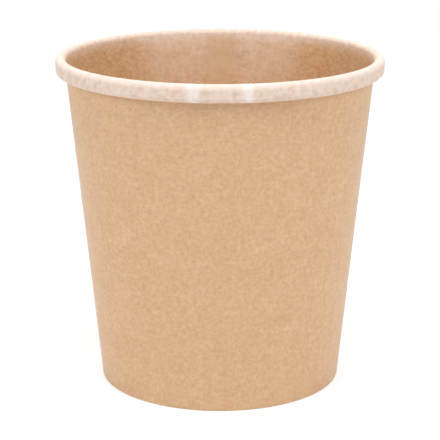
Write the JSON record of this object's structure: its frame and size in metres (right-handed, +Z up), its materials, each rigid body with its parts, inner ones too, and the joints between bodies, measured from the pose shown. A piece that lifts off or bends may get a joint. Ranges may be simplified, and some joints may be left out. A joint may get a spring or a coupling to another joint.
{
  "type": "soup cup",
  "caption": "Round tapered board cup for soup, with an outward-rolled rim, a lapped side seam and a recessed base disc held in a folded foot; open top.",
  "frame": {"origin": "centre of the foot ring, on the table", "axes": "+Z up along the cup's axis; +Y towards the side seam at the back; -Y is the pictured front"},
  "size_m": [0.098, 0.098, 0.0995],
  "materials": {
    "kraft_board": "matt kraft board outside, thin satin lining inside, stretched pale over the rolled rim",
    "base_board": "matt kraft board below, thin satin lining above"
  },
  "bodies": {
    "root": {"side_wall": "kraft_board", "base_disc": "base_board"}
  },
  "joints": []
}
